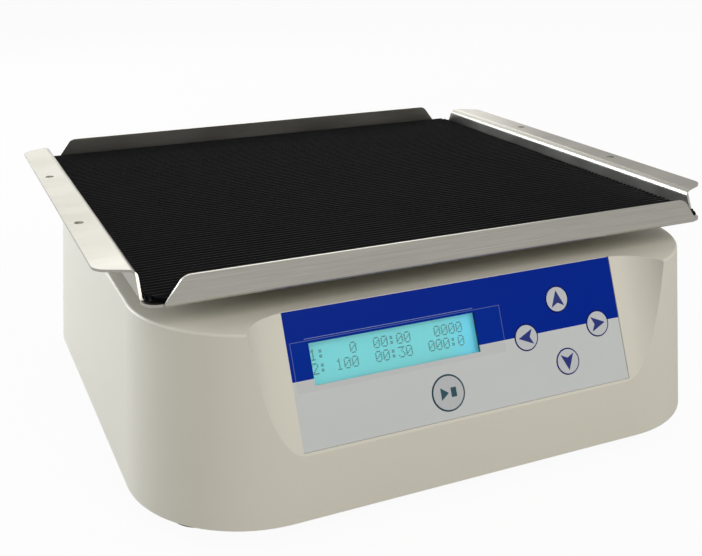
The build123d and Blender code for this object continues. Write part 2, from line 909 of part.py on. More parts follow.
rim_inner_radius = driven_radius - pulley_rim_thickness
web_top = pulley_bottom + (pulley_width + pulley_web_thickness) / 2

with BuildPart() as driven_pulley:
    add(
        pulley(
            driven_radius,
            main_shaft_radius,
            rim_inner_radius,
            pulley_hub_radius,
            pulley_hub_height,
            pulley_web_thickness,
        )
    )
    with Locations((0, 0, web_top)):
        with PolarLocations(
            pulley_hole_circle,
            pulley_hole_count,
            start_angle=pulley_hole_start,
            angular_range=pulley_hole_sweep,
        ):
            Cylinder(
                pulley_hole_radius, 2 * pulley_web_thickness, align=high, mode=Mode.SUBTRACT
            )
    with Locations(*[(side * weight_screw_x, weight_screw_y, web_top) for side in (-1, 1)]):
        Cylinder(
            screw_radius + screw_hole_gap, pulley_web_thickness, align=high, mode=Mode.SUBTRACT
        )
export(driven_pulley, "driven_pulley")

with BuildPart() as counterweight:
    with BuildSketch(Plane.XY.offset(web_top)):
        Circle(rim_inner_radius - weight_gap)
        Circle(weight_inner_radius, mode=Mode.SUBTRACT)
        Rectangle(
            2 * rim_inner_radius, rim_inner_radius, align=(Align.CENTER, Align.MIN), mode=Mode.SUBTRACT
        )
        with Locations(*[(side * weight_screw_x, weight_screw_y) for side in (-1, 1)]):
            Circle(screw_radius + screw_hole_gap, mode=Mode.SUBTRACT)
    extrude(amount=weight_height)
export(counterweight, "counterweight")

with BuildPart() as weight_screws:
    weight_top = web_top + weight_height
    with Locations(*[(side * weight_screw_x, weight_screw_y, weight_top) for side in (-1, 1)]):
        add(screw(screw_radius, weight_height + pulley_web_thickness))
export(weight_screws, "weight_screws")

# Idler cranks

idler_shoulder = post_top - bearing_end_gap + step_gap
for corner, (side, end) in corner_signs.items():
    with BuildPart() as idler:
        add(
            turned(
                (idler_journal_radius, plate_top + bearing_end_gap + step_gap, idler_shoulder),
                (idler_shoulder_radius, idler_shoulder, disc_bottom),
                (idler_disc_radius, disc_bottom, disc_top),
            )
        )
        disc_edges = (
            idler.edges()
            .filter_by(GeomType.CIRCLE)
            .filter_by(lambda edge: abs(edge.radius - idler_disc_radius) < fit)
        )
        chamfer(disc_edges, disc_round)
        with Locations((0, crank_radius, disc_top)):
            Cylinder(idler_pin_radius, pin_top - disc_top, align=low)
        chamfer(idler.edges().group_by(Axis.Z)[-1], disc_round)
    idler.part = idler.part.moved(Location((side * idler_x, end * idler_y, 0)))
    export(idler, f"idler_crank_{corner}")

# Motor, its bracket, its pulley and the belt

with BuildPart() as motor:
    with Locations((0, motor_y, motor_face)):
        Cylinder(motor_radius, motor_height, align=high)
    fillet(motor.edges().filter_by(GeomType.CIRCLE), motor_round)
    with Locations((0, motor_y, motor_face)):
        Cylinder(motor_boss_radius, motor_boss_height, align=low)
    with Locations((0, motor_y, motor_face - motor_height / 2)):
        with PolarLocations(motor_radius, motor_slot_count):
            Box(2 * motor_slot_depth, motor_slot_width, motor_height / 2, mode=Mode.SUBTRACT)
    with Locations((0, motor_y, motor_face - motor_shaft_inside - step_gap)):
        Cylinder(
            motor_shaft_radius + fit,
            motor_height,
            align=low,
            mode=Mode.SUBTRACT,
        )
    with Locations((0, motor_y, motor_face)):
        with PolarLocations(motor_screw_circle, motor_screw_count, start_angle=motor_screw_start):
            Cylinder(
                screw_radius + screw_hole_gap, motor_screw_depth, align=high, mode=Mode.SUBTRACT
            )
export(motor, "motor")

with BuildPart() as motor_bracket:
    with BuildSketch(Plane.XZ.offset(-(motor_y - bracket_depth / 2))):
        with BuildLine():
            FilletPolyline(
                (-bracket_half_width - bracket_foot, plate_top),
                (-bracket_half_width, plate_top),
                (-bracket_half_width, motor_face),
                (bracket_half_width, motor_face),
                (bracket_half_width, plate_top),
                (bracket_half_width + bracket_foot, plate_top),
                radius=bracket_bend,
            )
            offset(amount=bracket_thickness, side=Side.LEFT)
        make_face()
    extrude(amount=-bracket_depth)
    with BuildSketch(Plane.XY.offset(motor_face)):
        with Locations((0, motor_y)):
            Circle(motor_boss_radius + bracket_hole_gap)
            with PolarLocations(motor_screw_circle, motor_screw_count, start_angle=motor_screw_start):
                Circle(screw_radius + screw_hole_gap)
    extrude(amount=bracket_thickness, mode=Mode.SUBTRACT)
    with BuildSketch(Plane.XY.offset(plate_top)):
        with Locations(*bracket_screw_places):
            Circle(screw_radius + screw_hole_gap)
    extrude(amount=bracket_thickness, mode=Mode.SUBTRACT)
export(motor_bracket, "motor_bracket")

with BuildPart() as motor_screws:
    with Locations((0, motor_y, motor_face + bracket_thickness)):
        with PolarLocations(motor_screw_circle, motor_screw_count, start_angle=motor_screw_start):
            add(screw(screw_radius, bracket_thickness + motor_screw_depth))
export(motor_screws, "motor_screws")

with BuildPart() as motor_shaft:
    with Locations((0, motor_y, motor_face - motor_shaft_inside)):
        Cylinder(
            motor_shaft_radius,
            pulley_bottom + pulley_width + motor_shaft_end - motor_face + motor_shaft_inside,
            align=low,
        )
    chamfer(motor_shaft.edges().group_by(Axis.Z)[-1], disc_round)
export(motor_shaft, "motor_shaft")

motor_hub = motor_pulley_radius - pulley_rim_edge
with BuildPart() as motor_pulley:
    with Locations((0, motor_y, 0)):
        add(
            pulley(
                motor_pulley_radius, motor_shaft_radius, motor_hub, motor_hub, pulley_width, 0
            )
        )
export(motor_pulley, "motor_pulley")


def belt_outline(gap):
    with BuildSketch(Plane.XY.offset(pulley_bottom + pulley_rim_edge + belt_side_gap)) as outline:
        Circle(driven_radius + gap)
        with Locations((0, motor_y)):
            Circle(motor_pulley_radius + gap)
        make_hull(outline.edges())
    return outline.sketch


with BuildPart() as drive_belt:
    extrude(belt_outline(belt_gap + belt_thickness), amount=pulley_seat_width - 2 * belt_side_gap)
    extrude(
        belt_outline(belt_gap),
        amount=pulley_seat_width - 2 * belt_side_gap,
        mode=Mode.SUBTRACT,
    )
export(drive_belt, "drive_belt")

# Platform: carrier, its bearings, tray, mat and screws, all moved back by the crank's radius

platform = Location((0, crank_radius, 0))
carrier_thickness = tray_bottom - carrier_bottom
tray_screw_x = idler_x
tray_screw_places = [(side * tray_screw_x, end * tray_screw_y) for side in (-1, 1) for end in (-1, 1)]


def tray_screw(gap):
    """A countersunk screw under the origin, or with a gap the hole that it needs."""
    with BuildPart() as made:
        Cone(
            screw_radius + gap,
            head_ratio * screw_radius + gap,
            screw_radius,
            align=high,
        )
        Cylinder(screw_radius + gap, tray_screw_length + sheet, align=high)
    return made.part


with BuildPart() as carrier:
    with BuildSketch(Plane.XY.offset(tray_bottom)):
        RectangleRounded(
            2 * idler_x + carrier_rail_width, 2 * idler_y + carrier_rail_width, carrier_rail_width / 2
        )
        RectangleRounded(
            2 * idler_x - carrier_rail_width,
            2 * idler_y - carrier_rail_width,
            carrier_window_round,
            mode=Mode.SUBTRACT,
        )
        Circle(carrier_hub_radius)
        for turn in (1, -1):
            angle = math.degrees(math.atan2(turn * idler_y, idler_x))
            Rectangle(2 * math.hypot(idler_x, idler_y), carrier_arm_width, rotation=angle)
        with Locations(*idler_places):
            Circle(carrier_boss_radius)
    extrude(amount=-carrier_plate)
    with BuildSketch(Plane.XY.offset(tray_bottom)):
        Circle(carrier_hub_radius)
        with Locations(*idler_places, *tray_screw_places):
            Circle(carrier_boss_radius)
        for turn in (1, -1):
            angle = math.degrees(math.atan2(turn * idler_y, idler_x))
            Rectangle(2 * math.hypot(idler_x, idler_y), carrier_rib_thickness, rotation=angle)
    extrude(amount=-carrier_thickness)
    with BuildSketch(Plane.XY.offset(tray_bottom)):
        Circle(main_pin_bearing_radius + seat_fit)
        with Locations(*idler_places):
            Circle(pin_bearing_radius + seat_fit)
    extrude(amount=-carrier_thickness, mode=Mode.SUBTRACT)
    with Locations(*[(x, y, tray_floor) for x, y in tray_screw_places]):
        add(tray_screw(screw_hole_gap), mode=Mode.SUBTRACT)
carrier.part = carrier.part.moved(platform)
export(carrier, "platform_carrier")

bearing_rest = tray_bottom - pin_bearing_width - carrier_gap / 4
with BuildPart() as crank_bearing:
    with Locations((0, crank_radius, bearing_rest)):
        add(bearing(main_pin_radius + fit, main_pin_bearing_radius, pin_bearing_width))
export(crank_bearing, "crank_bearing")

with BuildPart() as idler_bearings:
    with Locations(*[(x, y + crank_radius, bearing_rest) for x, y in idler_places]):
        add(bearing(idler_pin_radius + open_pin_fit, pin_bearing_radius, pin_bearing_width))
export(idler_bearings, "idler_bearings")


tray_half_width = tray_width / 2
tray_half_length = tray_length / 2
lip_half_width = tray_half_width + lip_width


def mirrored_pair(points):
    """Closes an outline that is given on its right half, top to bottom."""
    return [*points, *[(-x, y) for x, y in reversed(points)]]


with BuildPart() as tray_sides:
    with BuildSketch(Plane.XZ):
        with BuildLine():
            FilletPolyline(
                (-lip_half_width, tray_bottom + tray_height),
                (-tray_half_width, tray_bottom + tray_height),
                (-tray_half_width, tray_bottom),
                (tray_half_width, tray_bottom),
                (tray_half_width, tray_bottom + tray_height),
                (lip_half_width, tray_bottom + tray_height),
                radius=sheet + sheet_bend,
            )
            offset(amount=sheet, side=Side.LEFT)
        make_face()
    extrude(amount=web_foot_half, both=True)
    with BuildSketch(Plane.YZ):
        Polygon(
            *mirrored_pair(
                [
                    (web_foot_half, tray_bottom),
                    (web_top_half, tray_bottom + tray_height),
                    (web_top_half, tray_bottom + 2 * tray_height),
                ]
            ),
            align=None,
        )
    extrude(amount=lip_half_width, both=True, mode=Mode.INTERSECT)
    with BuildSketch(Plane.XY.offset(tray_bottom)) as lip_plan:
        Polygon(
            *mirrored_pair(
                [
                    (tray_half_width, web_foot_half),
                    (tray_half_width, web_top_half),
                    (lip_half_width, lip_corner_half),
                    (lip_half_width, -lip_corner_half),
                    (tray_half_width, -web_top_half),
                    (tray_half_width, -web_foot_half),
                ]
            ),
            align=None,
        )
        outer = [v for v in lip_plan.vertices() if abs(v.X) > tray_half_width + lip_width / 2]
        fillet(outer, lip_corner_round)
    extrude(amount=2 * tray_height, mode=Mode.INTERSECT)

with BuildPart() as tray_ends:
    with BuildSketch(Plane.YZ):
        with BuildLine():
            FilletPolyline(
                (-tray_half_length, tray_bottom + flange_height),
                (-tray_half_length, tray_bottom),
                (tray_half_length, tray_bottom),
                (tray_half_length, tray_bottom + flange_height),
                radius=sheet + sheet_bend,
            )
            offset(amount=sheet, side=Side.LEFT)
        make_face()
    extrude(amount=flange_foot_half, both=True)
    with BuildSketch(Plane.XZ) as flange_front_view:
        Polygon(
            *mirrored_pair(
                [
                    (flange_foot_half, tray_bottom),
                    (flange_foot_half, tray_bottom + sheet + sheet_bend),
                    (flange_top_half, tray_bottom + flange_height),
                ]
            ),
            align=None,
        )
        fillet(flange_front_view.vertices().group_by(Axis.Y)[-1], flange_corner_round)
    extrude(amount=tray_length, both=True, mode=Mode.INTERSECT)

with BuildPart() as tray:
    add(tray_sides.part)
    add(tray_ends.part)
    with BuildSketch(Plane.XY.offset(tray_bottom)):
        RectangleRounded(tray_width, tray_length - 2 * tab_setback, tab_round)
        with Locations((tray_half_width, 0), (-tray_half_width, 0)):
            Rectangle(2 * (sheet + sheet_bend), 2 * web_foot_half, mode=Mode.SUBTRACT)
    extrude(amount=sheet)
    with BuildSketch(Plane.XY.offset(tray_bottom)):
        with GridLocations(2 * lip_hole_x, 2 * lip_hole_y, 2, 2):
            Circle(lip_hole_radius)
    extrude(amount=2 * tray_height, mode=Mode.SUBTRACT)
    with Locations(*[(x, y, tray_floor) for x, y in tray_screw_places]):
        add(tray_screw(screw_hole_gap), mode=Mode.SUBTRACT)
tray.part = tray.part.moved(platform)
export(tray, "tray")

with BuildPart() as tray_screws:
    with Locations(*[(x, y + crank_radius, tray_floor) for x, y in tray_screw_places]):
        add(tray_screw(0))
export(tray_screws, "tray_screws")

mat_half_width = tray_half_width - sheet - mat_side_gap
mat_half_length = tray_half_length - sheet - mat_end_gap
mat_top = tray_bottom + tray_height + sheet - mat_drop

with BuildPart() as mat:
    with BuildSketch(Plane.XZ):
        with BuildLine():
            FilletPolyline(
                (-mat_half_width, mat_top),
                (-mat_half_width, tray_floor),
                (mat_half_width, tray_floor),
                (mat_half_width, mat_top),
                radius=mat_curl,
            )
            offset(amount=mat_thickness, side=Side.LEFT)
        make_face()
    extrude(amount=mat_half_length, both=True)
    with BuildSketch(Plane.YZ):
        Polygon(
            *mirrored_pair(
                [
                    (mat_half_length, tray_floor),
                    (mat_half_length, tray_floor + mat_thickness),
                    (web_top_half, tray_bottom + tray_height),
                ]
            ),
            align=None,
        )
    extrude(amount=tray_width, both=True, mode=Mode.INTERSECT)
    with BuildSketch(Plane.XY.offset(tray_floor)):
        RectangleRounded(2 * mat_half_width, 2 * mat_half_length, tab_round)
    extrude(amount=2 * tray_height, mode=Mode.INTERSECT)
mat.part = mat.part.moved(platform)
export(mat, "mat")

# Power inlet, switch and fuse in the rear recess

inlet_plane = Plane(
    origin=(inlet_x, recess_y, connection_height), x_dir=(-1, 0, 0), z_dir=(0, 1, 0)
)
with BuildPart() as power_inlet:
    with BuildSketch(inlet_plane):
        RectangleRounded(inlet_flange_width, inlet_flange_height, inlet_corner)
    extrude(amount=inlet_flange_thickness)
    with BuildSketch(inlet_plane):
        Rectangle(inlet_width, inlet_height)
    extrude(amount=-inlet_depth)
    with BuildSketch(inlet_plane.offset(inlet_flange_thickness)) as mouth:
        Rectangle(socket_width, socket_height)
        chamfer(mouth.vertices().group_by(Axis.Z)[-1], socket_corner)
    extrude(amount=-socket_depth, mode=Mode.SUBTRACT)
    with BuildSketch(inlet_plane):
        with Locations((-inlet_screw_x, 0), (inlet_screw_x, 0)):
            Circle(small_screw_radius + screw_hole_gap)
    extrude(amount=inlet_flange_thickness, mode=Mode.SUBTRACT)
export(power_inlet, "power_inlet")

socket_floor = socket_depth - inlet_flange_thickness
with BuildPart() as inlet_pins:
    with BuildSketch(inlet_plane.offset(-socket_floor)):
        with Locations((-pin_spread, -pin_drop), (pin_spread, -pin_drop), (0, pin_rise)):
            Rectangle(pin_width, pin_height)
    extrude(amount=pin_length)
export(inlet_pins, "inlet_pins")

inlet_screw = screw(small_screw_radius, inlet_flange_thickness + 2 * case_wall)
with BuildPart() as inlet_screws:
    with Locations(inlet_plane.offset(inlet_flange_thickness)):
        with Locations((-inlet_screw_x, 0), (inlet_screw_x, 0)):
            add(inlet_screw)
export(inlet_screws, "inlet_screws")

switch_plane = Plane(
    origin=(switch_x, recess_y, connection_height), x_dir=(-1, 0, 0), z_dir=(0, 1, 0)
)
pivot = switch_plane.offset(-rocker_pivot_inset)
rocker_axis_plane = Plane(origin=pivot.origin, x_dir=(0, 1, 0), z_dir=(1, 0, 0))

with BuildPart() as switch_frame:
    with BuildSketch(switch_plane):
        RectangleRounded(switch_flange_width, switch_flange_height, switch_flange_thickness)
    extrude(amount=switch_flange_thickness)
    with BuildSketch(switch_plane):
        Rectangle(switch_body_width, switch_body_height)
    extrude(amount=-switch_body_depth)
    with BuildSketch(rocker_axis_plane):
        Circle(rocker_radius + rocker_gap)
    extrude(amount=rocker_width / 2 + rocker_gap, both=True, mode=Mode.SUBTRACT)
    with BuildSketch(rocker_axis_plane):
        Circle(rocker_pin_radius + fit)
    extrude(amount=rocker_width / 2 + rocker_pin_length + rocker_gap, both=True, mode=Mode.SUBTRACT)
export(switch_frame, "switch_frame")

wing = math.tan(math.radians(rocker_swing)) * 2 * rocker_radius
with BuildPart() as power_rocker:
    with BuildSketch(rocker_axis_plane):
        Circle(rocker_radius)
        Polygon(
            (-rocker_radius / 2, -2 * rocker_radius),
            (rocker_waist + wing, -2 * rocker_radius),
            (rocker_waist, 0),
            (rocker_waist + wing, 2 * rocker_radius),
            (-rocker_radius / 2, 2 * rocker_radius),
            align=None,
            mode=Mode.INTERSECT,
        )
    extrude(amount=rocker_width / 2, both=True)
    with BuildSketch(rocker_axis_plane):
        Circle(rocker_pin_radius)
    extrude(amount=rocker_width / 2 + rocker_pin_length, both=True)
power_rocker.part = power_rocker.part.rotate(
    Axis(rocker_axis_plane.origin, (1, 0, 0)), rocker_swing
)
export(power_rocker, "power_rocker")

fuse_plane = Plane(
    origin=(fuse_x, recess_y, connection_height), x_dir=(-1, 0, 0), z_dir=(0, 1, 0)
)
with BuildPart() as fuse_holder:
    with BuildSketch(fuse_plane):
        Circle(fuse_cap_radius)
    extrude(amount=fuse_cap_height / 2)
    with BuildSketch(fuse_plane.offset(fuse_cap_height / 2)):
        RegularPolygon(fuse_grip_radius, fuse_grip_count)
    extrude(amount=fuse_cap_height / 2)
    with BuildSketch(fuse_plane):
        Circle(fuse_radius)
    extrude(amount=-fuse_depth)
    with BuildSketch(fuse_plane.offset(fuse_cap_height)):
        Rectangle(2 * fuse_radius, fuse_slot_width)
    extrude(amount=-fuse_slot_depth, mode=Mode.SUBTRACT)
export(fuse_holder, "fuse_holder")

# Power supply board beside the drive

supply_bottom = plate_top + supply_pillar_height
supply_top = supply_bottom + board_thickness
supply_grid = (
    supply_width - 2 * supply_pillar_inset,
    supply_length - 2 * supply_pillar_inset,
)

with BuildPart() as supply_pillars:
    with Locations((supply_x, 0, plate_top)):
        with GridLocations(*supply_grid, 2, 2):
            Cylinder(supply_pillar_radius, supply_pillar_height, align=low)
export(supply_pillars, "supply_pillars")

with BuildPart() as supply_board:
    with Locations((supply_x, 0, supply_bottom)):
        Box(supply_width, supply_length, board_thickness, align=low)
    with Locations((supply_x, transformer_y, supply_top)):
        Box(*transformer_size, align=low)
    with Locations((supply_x, 0, supply_top)):
        with Locations(*capacitor_places):
            Cylinder(capacitor_radius, capacitor_height, align=low)
        with Locations(heatsink_place):
            Box(*heatsink_size, align=low)
export(supply_board, "supply_board")
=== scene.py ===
import json
import math
import random

import bpy
from mathutils import Matrix, Vector


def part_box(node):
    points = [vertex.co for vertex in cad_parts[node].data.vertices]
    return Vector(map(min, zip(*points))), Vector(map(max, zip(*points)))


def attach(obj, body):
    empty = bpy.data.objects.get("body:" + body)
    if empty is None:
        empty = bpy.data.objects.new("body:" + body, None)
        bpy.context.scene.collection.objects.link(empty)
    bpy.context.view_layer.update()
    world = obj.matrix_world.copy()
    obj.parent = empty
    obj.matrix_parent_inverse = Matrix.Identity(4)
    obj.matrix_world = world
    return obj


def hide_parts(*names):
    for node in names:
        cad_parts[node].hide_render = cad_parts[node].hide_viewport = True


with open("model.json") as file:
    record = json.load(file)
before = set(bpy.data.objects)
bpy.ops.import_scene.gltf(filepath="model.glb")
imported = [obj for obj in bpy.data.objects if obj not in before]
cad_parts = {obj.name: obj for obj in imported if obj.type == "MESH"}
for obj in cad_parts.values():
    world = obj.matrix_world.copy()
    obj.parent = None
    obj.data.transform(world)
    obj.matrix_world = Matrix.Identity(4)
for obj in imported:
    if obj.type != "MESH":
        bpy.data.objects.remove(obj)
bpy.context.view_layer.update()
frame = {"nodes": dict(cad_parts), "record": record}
bpy.ops.object.select_all(action="DESELECT")
nodes = frame["nodes"]
mm = 0.001

# The sloping control panel: u runs to the right from its middle, v up its slope from its lower edge
panel = {
    "tilt": math.radians(23.5),
    "origin": Vector((0, -0.148518, 0.042)),
    "blueFrom": 30.5 * mm,  # above this height the film is blue, below it light grey
    "paneMiddle": (-32.2 * mm, 36.2 * mm),
    "paneSize": (105.3 * mm, 22.3 * mm),
}
slopeUp = Vector((0, math.sin(panel["tilt"]), math.cos(panel["tilt"])))
slopeOut = Vector((0, -math.cos(panel["tilt"]), math.sin(panel["tilt"])))
panelMatrix = Matrix((
    (1, slopeUp.x, slopeOut.x, panel["origin"].x),
    (0, slopeUp.y, slopeOut.y, panel["origin"].y),
    (0, slopeUp.z, slopeOut.z, panel["origin"].z),
    (0, 0, 0, 1),
))


# Small helpers for the node trees
def wire(tree, target, value):
    if isinstance(value, bpy.types.NodeSocket):
        tree.links.new(value, target)
    else:
        target.default_value = value


def calc(tree, operation, *values):
    node = tree.nodes.new("ShaderNodeMath")
    node.operation = operation
    for target, value in zip(node.inputs, values):
        wire(tree, target, value)
    return node.outputs[0]


def spread(tree, value, fromLow, fromHigh, toLow=0.0, toHigh=1.0):
    node = tree.nodes.new("ShaderNodeMapRange")
    wire(tree, node.inputs["Value"], value)
    node.inputs["From Min"].default_value = fromLow
    node.inputs["From Max"].default_value = fromHigh
    node.inputs["To Min"].default_value = toLow
    node.inputs["To Max"].default_value = toHigh
    return node.outputs["Result"]


def blendColours(tree, factor, first, second, kind="MIX"):
    node = tree.nodes.new("ShaderNodeMix")
    node.data_type = "RGBA"
    node.blend_type = kind
    wire(tree, node.inputs["Factor"], factor)
    for label, value in (("A", first), ("B", second)):
        target = [s for s in node.inputs if s.name == label and s.type == "RGBA"][0]
        if isinstance(value, bpy.types.NodeSocket):
            tree.links.new(value, target)
        else:
            target.default_value = (*value, 1)
    return [s for s in node.outputs if s.type == "RGBA"][0]


def stretched(tree, vector, scale):
    node = tree.nodes.new("ShaderNodeMapping")
    wire(tree, node.inputs["Vector"], vector)
    node.inputs["Scale"].default_value = scale
    return node.outputs[0]


def noise(tree, vector, scale, detail=3.0, roughness=0.5):
    node = tree.nodes.new("ShaderNodeTexNoise")
    wire(tree, node.inputs["Vector"], vector)
    wire(tree, node.inputs["Scale"], scale)
    node.inputs["Detail"].default_value = detail
    node.inputs["Roughness"].default_value = roughness
    return node.outputs["Fac"]


def newGroup(name, inputs, outputs):
    tree = bpy.data.node_groups.new(name, "ShaderNodeTree")
    for label, kind, value in inputs:
        made = tree.interface.new_socket(name=label, in_out="INPUT", socket_type=kind)
        if value is not None:
            made.default_value = value
    for label, kind in outputs:
        tree.interface.new_socket(name=label, in_out="OUTPUT", socket_type=kind)
    start = tree.nodes.new("NodeGroupInput")
    end = tree.nodes.new("NodeGroupOutput")
    return tree, start.outputs, end.inputs


# Effects that several finishes share
def makeToneDrift():
    tree, given, result = newGroup(
        "toneDrift",
        [("Vector", "NodeSocketVector", None), ("Colour", "NodeSocketColor", (0.8, 0.8, 0.8, 1)),
         ("Size", "NodeSocketFloat", 12.0), ("Amount", "NodeSocketFloat", 0.06)],
        [("Colour", "NodeSocketColor"), ("Patch", "NodeSocketFloat")],
    )
    cloud = noise(tree, given["Vector"], given["Size"], 4.0, 0.55)
    swing = calc(tree, "MULTIPLY", calc(tree, "SUBTRACT", cloud, 0.5), given["Amount"])
    tone = calc(tree, "ADD", swing, 1.0)
    merged = tree.nodes.new("ShaderNodeCombineColor")
    for target in merged.inputs:
        tree.links.new(tone, target)
    toned = blendColours(tree, 1.0, given["Colour"], merged.outputs[0], "MULTIPLY")
    tree.links.new(toned, result["Colour"])
    tree.links.new(cloud, result["Patch"])
    return tree


def makeMouldGrain():
    tree, given, result = newGroup(
        "mouldGrain",
        [("Vector", "NodeSocketVector", None), ("Size", "NodeSocketFloat", 2200.0)],
        [("Height", "NodeSocketFloat")],
    )
    fine = noise(tree, given["Vector"], given["Size"], 2.0, 0.6)
    coarse = noise(tree, given["Vector"], calc(tree, "MULTIPLY", given["Size"], 0.12), 2.0, 0.5)
    tree.links.new(calc(tree, "ADD", fine, calc(tree, "MULTIPLY", coarse, 0.8)), result["Height"])
    return tree


def makeBrushLines():
    tree, given, result = newGroup(
        "brushLines",
        [("Vector", "NodeSocketVector", None), ("Size", "NodeSocketFloat", 1.0)],
        [("Lines", "NodeSocketFloat"), ("Cloud", "NodeSocketFloat")],
    )
    long = noise(tree, stretched(tree, given["Vector"], (14, 2600, 2600)), given["Size"], 3.0, 0.65)
    short = noise(tree, stretched(tree, given["Vector"], (60, 5200, 5200)), given["Size"], 2.0, 0.6)
    cloud = noise(tree, stretched(tree, given["Vector"], (9, 30, 30)), given["Size"], 3.0, 0.6)
    lines = calc(tree, "ADD", calc(tree, "MULTIPLY", long, 0.6), calc(tree, "MULTIPLY", short, 0.4))
    tree.links.new(lines, result["Lines"])
    tree.links.new(cloud, result["Cloud"])
    return tree


def makeDustSpecks():
    tree, given, result = newGroup(
        "dustSpecks",
        [("Vector", "NodeSocketVector", None), ("Size", "NodeSocketFloat", 60.0),
         ("Radius", "NodeSocketFloat", 0.03), ("Share", "NodeSocketFloat", 0.9)],
        [("Mask", "NodeSocketFloat")],
    )
    cells = tree.nodes.new("ShaderNodeTexVoronoi")
    wire(tree, cells.inputs["Vector"], given["Vector"])
    wire(tree, cells.inputs["Scale"], given["Size"])
    near = calc(tree, "LESS_THAN", cells.outputs["Distance"], given["Radius"])
    picked = tree.nodes.new("ShaderNodeSeparateColor")
    tree.links.new(cells.outputs["Color"], picked.inputs[0])
    few = calc(tree, "GREATER_THAN", picked.outputs[0], given["Share"])
    tree.links.new(calc(tree, "MULTIPLY", near, few), result["Mask"])
    return tree


effects = {
    "tone": makeToneDrift(),
    "grain": makeMouldGrain(),
    "brush": makeBrushLines(),
    "dust": makeDustSpecks(),
}


def useEffect(tree, name, **values):
    node = tree.nodes.new("ShaderNodeGroup")
    node.node_tree = effects[name]
    for label, value in values.items():
        wire(tree, node.inputs[label], value)
    return node.outputs


def newFinish(name, colour, roughness, metallic=0.0, **sockets):
    made = bpy.data.materials.new(name)
    made.use_nodes = True
    tree = made.node_tree
    shader = tree.nodes["Principled BSDF"]
    shader.inputs["Base Color"].default_value = (*colour, 1)
    shader.inputs["Roughness"].default_value = roughness
    shader.inputs["Metallic"].default_value = metallic
    for label, value in sockets.items():
        shader.inputs[label.replace("_", " ")].default_value = value
    place = tree.nodes.new("ShaderNodeTexCoord").outputs["Object"]
    made.diffuse_color = (*colour, 1)
    return made, tree, shader, place


def roughen(tree, shader, height, depth, strength=1.0):
    bump = tree.nodes.new("ShaderNodeBump")
    bump.inputs["Strength"].default_value = strength
    bump.inputs["Distance"].default_value = depth
    tree.links.new(height, bump.inputs["Height"])
    tree.links.new(bump.outputs[0], shader.inputs["Normal"])


# Finishes
def plasticFinish(name, colour, roughness, drift=0.05, depth=0.00003, grain=2200.0, **sockets):
    made, tree, shader, place = newFinish(name, colour, roughness, **sockets)
    tone = useEffect(tree, "tone", Vector=place, Colour=(*colour, 1), Size=9.0, Amount=drift)
    tree.links.new(tone["Colour"], shader.inputs["Base Color"])
    tree.links.new(spread(tree, tone["Patch"], 0.3, 0.7, roughness - 0.04, roughness + 0.05),
                   shader.inputs["Roughness"])
    height = useEffect(tree, "grain", Vector=place, Size=grain)["Height"]
    roughen(tree, shader, height, depth)
    return made


def brushedFinish(name, colour, roughness, depth=0.00002, contrast=0.25, **sockets):
    made, tree, shader, place = newFinish(name, colour, roughness, 1.0, **sockets)
    brush = useEffect(tree, "brush", Vector=place)
    dark = tuple(c * (1 - contrast) for c in colour)
    light = tuple(min(1, c * (1 + contrast * 0.6)) for c in colour)
    streak = spread(tree, brush["Lines"], 0.35, 0.65)
    base = blendColours(tree, streak, dark, light)
    cloud = spread(tree, brush["Cloud"], 0.3, 0.7, 0.92, 1.05)
    merged = tree.nodes.new("ShaderNodeCombineColor")
    for target in merged.inputs:
        tree.links.new(cloud, target)
    toned = blendColours(tree, 1.0, base, merged.outputs[0], "MULTIPLY")
    tree.links.new(toned, shader.inputs["Base Color"])
    tree.links.new(spread(tree, brush["Cloud"], 0.3, 0.7, roughness - 0.05, roughness + 0.07),
                   shader.inputs["Roughness"])
    roughen(tree, shader, brush["Lines"], depth)
    return made


def matFinish():
    look = {
        "rubber": (0.0042, 0.0046, 0.0055),
        "worn": (0.009, 0.0095, 0.0105),
        "dust": (0.30, 0.32, 0.34),
        "specks": {"Size": 55.0, "Radius": 0.03, "Share": 0.955},
        "fineSpecks": {"Size": 210.0, "Radius": 0.07, "Share": 0.96},
        "speckStrength": 0.6,
        "fineStrength": 0.12,
    }
    made, tree, shader, place = newFinish("ribbedRubber", look["rubber"], 0.55, Specular_IOR_Level=0.04)
    tone = useEffect(tree, "tone", Vector=place, Colour=(*look["rubber"], 1), Size=18.0, Amount=0.5)
    patch = spread(tree, noise(tree, stretched(tree, place, (1, 5, 5)), 14.0, 4.0, 0.6), 0.45, 0.75)
    base = blendColours(tree, patch, tone["Colour"], look["worn"])
    specks = useEffect(tree, "dust", Vector=place, **look["specks"])["Mask"]
    fine = useEffect(tree, "dust", Vector=place, **look["fineSpecks"])["Mask"]
    dusty = calc(
        tree, "MAXIMUM",
        calc(tree, "MULTIPLY", specks, look["speckStrength"]),
        calc(tree, "MULTIPLY", fine, look["fineStrength"]))
    tree.links.new(blendColours(tree, dusty, base, look["dust"]), shader.inputs["Base Color"])
    tree.links.new(spread(tree, patch, 0, 1, 0.5, 0.62), shader.inputs["Roughness"])
    roughen(tree, shader, useEffect(tree, "grain", Vector=place, Size=1600.0)["Height"], 0.00003)
    return made


def rubberFinish(name, colour, roughness):
    made, tree, shader, place = newFinish(name, colour, roughness)
    tone = useEffect(tree, "tone", Vector=place, Colour=(*colour, 1), Size=40.0, Amount=0.4)
    tree.links.new(tone["Colour"], shader.inputs["Base Color"])
    roughen(tree, shader, useEffect(tree, "grain", Vector=place, Size=1500.0)["Height"], 0.00005)
    return made


